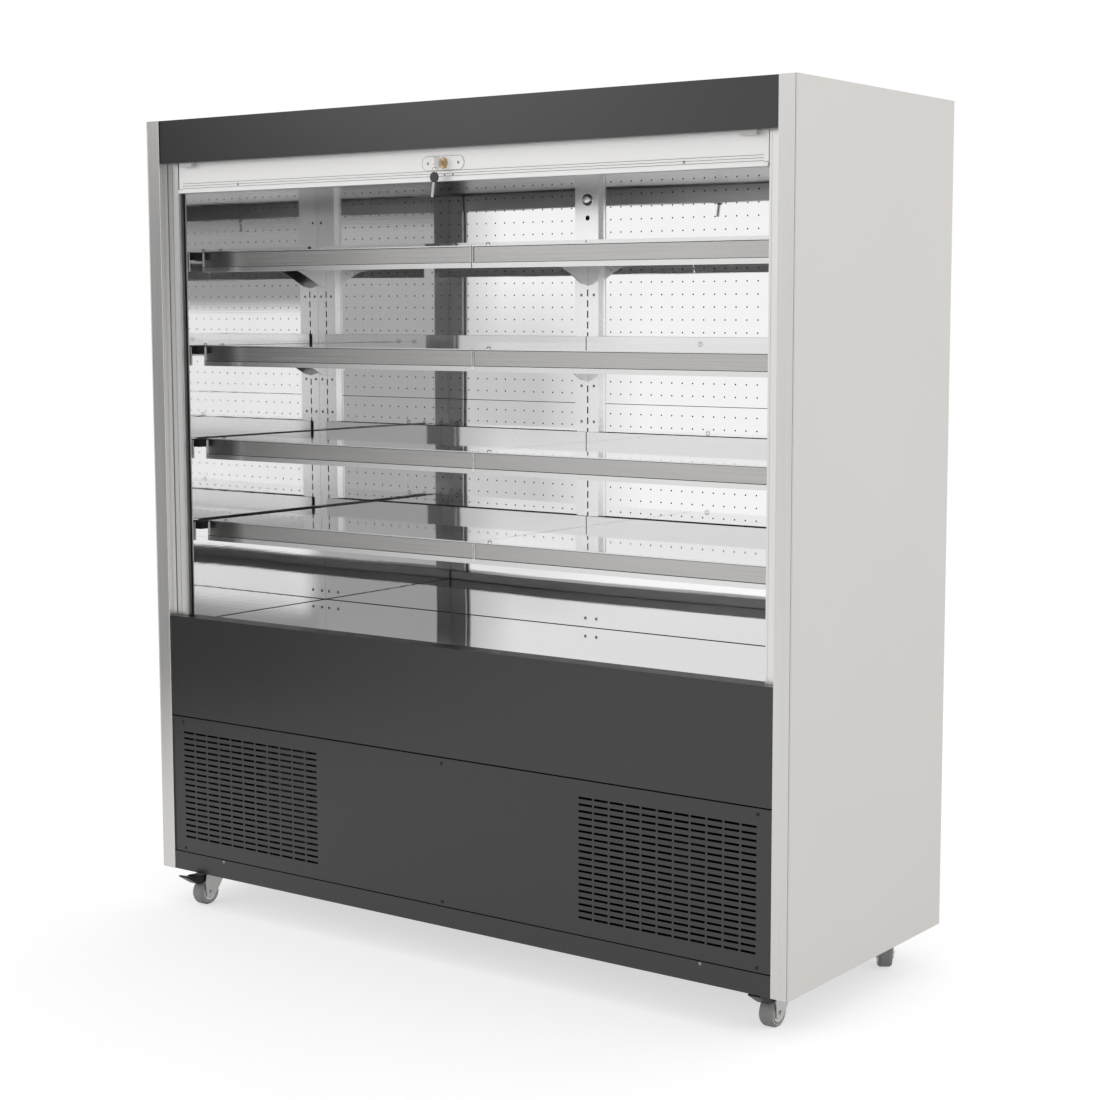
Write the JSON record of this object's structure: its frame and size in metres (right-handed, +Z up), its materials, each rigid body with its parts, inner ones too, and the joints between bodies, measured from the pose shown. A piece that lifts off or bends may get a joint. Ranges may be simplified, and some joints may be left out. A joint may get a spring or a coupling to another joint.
{
  "type": "open multideck display fridge",
  "caption": "Upright open-front display fridge on casters, with adjustable steel shelves, a service grille and a locking roller night shutter.",
  "frame": {"origin": "on the floor, under the middle of the overall footprint (brake pedals included)", "axes": "+X to the right as seen from the front, +Y from the open front to the rear, +Z up"},
  "size_m": [1.77, 0.694, 1.882],
  "materials": {
    "white_paint": "satin white painted steel skin over foam",
    "tank_skin": "coated steel skin over foam",
    "dark_paint": "satin dark grey powder coat",
    "trim_steel": "brushed stainless steel",
    "guide_aluminium": "satin anodised aluminium",
    "polished_steel": "polished stainless steel",
    "shelf_steel": "brushed stainless steel",
    "chassis_steel": "galvanised steel",
    "slat_aluminium": "satin light grey slats",
    "rail_aluminium": "satin aluminium",
    "lock_brass": "satin brass",
    "key_metal": "nickel plated",
    "spare_head": "dark head, nickel plated blade",
    "compressor_black": "black painted shell",
    "coil_aluminium": "finned coil",
    "fan_plastic": "black plastic",
    "caster_steel": "zinc plated steel",
    "tyre_grey": "grey rubber",
    "pedal_black": "black plastic"
  },
  "bodies": {
    "cabinet": {"base_chassis": "chassis_steel", "bracket_1_centre": "shelf_steel", "bracket_1_left": "shelf_steel", "bracket_1_right": "shelf_steel", "bracket_2_centre": "shelf_steel", "bracket_2_left": "shelf_steel", "bracket_2_right": "shelf_steel", "bracket_3_centre": "shelf_steel", "bracket_3_left": "shelf_steel", "bracket_3_right": "shelf_steel", "bracket_4_centre": "shelf_steel", "bracket_4_left": "shelf_steel", "bracket_4_right": "shelf_steel", "canopy_liner": "polished_steel", "centre_upright": "polished_steel", "compressor": "compressor_black", "condenser_coil": "coil_aluminium", "deck_pan": "polished_steel", "evaporator_coil": "coil_aluminium", "grille_panel": "dark_paint", "header_panel": "dark_paint", "insulated_tank": "tank_skin", "left_front_trim": "trim_steel", "left_shutter_guide": "guide_aluminium", "left_side_panel": "white_paint", "left_upright": "polished_steel", "lower_front_panel": "dark_paint", "perforated_back_panel": "polished_steel", "plinth_rail": "dark_paint", "right_front_trim": "trim_steel", "right_shutter_guide": "guide_aluminium", "right_side_panel": "white_paint", "right_upright": "polished_steel", "roof_panel": "tank_skin", "shelf_1_left": "shelf_steel", "shelf_1_right": "shelf_steel", "shelf_2_left": "shelf_steel", "shelf_2_right": "shelf_steel", "shelf_3_left": "shelf_steel", "shelf_3_right": "shelf_steel", "shelf_4_left": "shelf_steel", "shelf_4_right": "shelf_steel", "shutter_curtain": "slat_aluminium"},
    "shutter": {"shutter_bottom_rail": "rail_aluminium"},
    "barrel": {"shutter_barrel": "slat_aluminium"},
    "lock": {"lock_plug": "lock_brass", "lock_key": "key_metal"},
    "spare_key": {"spare_key": "spare_head"},
    "condenser_fan": {"condenser_fan": "fan_plastic"},
    "evaporator_fan": {"evaporator_fan": "fan_plastic"},
    "front_left_caster": {"front_left_fork": "caster_steel"},
    "front_left_wheel": {"front_left_wheel": "tyre_grey"},
    "front_left_brake": {"front_left_brake_pedal": "pedal_black"},
    "front_right_caster": {"front_right_fork": "caster_steel"},
    "front_right_wheel": {"front_right_wheel": "tyre_grey"},
    "front_right_brake": {"front_right_brake_pedal": "pedal_black"},
    "rear_left_caster": {"rear_left_fork": "caster_steel"},
    "rear_left_wheel": {"rear_left_wheel": "tyre_grey"},
    "rear_right_caster": {"rear_right_fork": "caster_steel"},
    "rear_right_wheel": {"rear_right_wheel": "tyre_grey"}
  },
  "joints": [
    {"name": "shutter_slide", "type": "slide", "parent": "cabinet", "child": "shutter", "axis": [0, 0, 1], "range_m": [-1.002, 0], "deforming": ["shutter_curtain"]},
    {"name": "barrel_turn", "type": "hinge", "parent": "cabinet", "child": "barrel", "pos_m": [0, -0.2254, 1.825], "axis": [1, 0, 0], "range_deg": [0, 1524]},
    {"name": "key_turn", "type": "hinge", "parent": "shutter", "child": "lock", "pos_m": [0, -0.285, 1.752], "axis": [0, 1, 0], "range_deg": [0, 90]},
    {"name": "spare_key_swing", "type": "hinge", "parent": "lock", "child": "spare_key", "pos_m": [0, -0.3115, 1.7428], "axis": [-1, 0, 0], "range_deg": [0, 60]},
    {"name": "front_left_swivel", "type": "hinge", "parent": "cabinet", "child": "front_left_caster", "pos_m": [-0.782, -0.248, 0.078], "axis": [0, 0, 1], "continuous": true},
    {"name": "front_left_roll", "type": "hinge", "parent": "front_left_caster", "child": "front_left_wheel", "pos_m": [-0.782, -0.273, 0.031], "axis": [1, 0, 0], "continuous": true},
    {"name": "front_left_brake_press", "type": "hinge", "parent": "front_left_caster", "child": "front_left_brake", "pos_m": [-0.782, -0.281, 0.0675], "axis": [1, 0, 0], "range_deg": [0, 10]},
    {"name": "front_right_swivel", "type": "hinge", "parent": "cabinet", "child": "front_right_caster", "pos_m": [0.802, -0.207, 0.078], "axis": [0, 0, 1], "continuous": true},
    {"name": "front_right_roll", "type": "hinge", "parent": "front_right_caster", "child": "front_right_wheel", "pos_m": [0.802, -0.232, 0.031], "axis": [1, 0, 0], "continuous": true},
    {"name": "front_right_brake_press", "type": "hinge", "parent": "front_right_caster", "child": "front_right_brake", "pos_m": [0.802, -0.24, 0.0675], "axis": [1, 0, 0], "range_deg": [0, 10]},
    {"name": "rear_left_swivel", "type": "hinge", "parent": "cabinet", "child": "rear_left_caster", "pos_m": [-0.787, 0.269, 0.078], "axis": [0, 0, 1], "continuous": true},
    {"name": "rear_left_roll", "type": "hinge", "parent": "rear_left_caster", "child": "rear_left_wheel", "pos_m": [-0.77845, 0.24551, 0.031], "axis": [0.9397, 0.342, 0], "continuous": true},
    {"name": "rear_right_swivel", "type": "hinge", "parent": "cabinet", "child": "rear_right_caster", "pos_m": [0.787, 0.269, 0.078], "axis": [0, 0, 1], "continuous": true},
    {"name": "rear_right_roll", "type": "hinge", "parent": "rear_right_caster", "child": "rear_right_wheel", "pos_m": [0.80134, 0.24852, 0.031], "axis": [0.8192, 0.5736, 0], "continuous": true},
    {"name": "condenser_fan_spin", "type": "hinge", "parent": "cabinet", "child": "condenser_fan", "pos_m": [-0.4, -0.163, 0.2553], "axis": [0, 1, 0], "continuous": true},
    {"name": "evaporator_fan_spin", "type": "hinge", "parent": "cabinet", "child": "evaporator_fan", "pos_m": [0, 0.157, 0.6063], "axis": [0, 1, 0], "continuous": true}
  ],
  "couplings": [
    {"joint": "barrel_turn", "follows": "shutter_slide", "rad_per_m": -26.5}
  ]
}
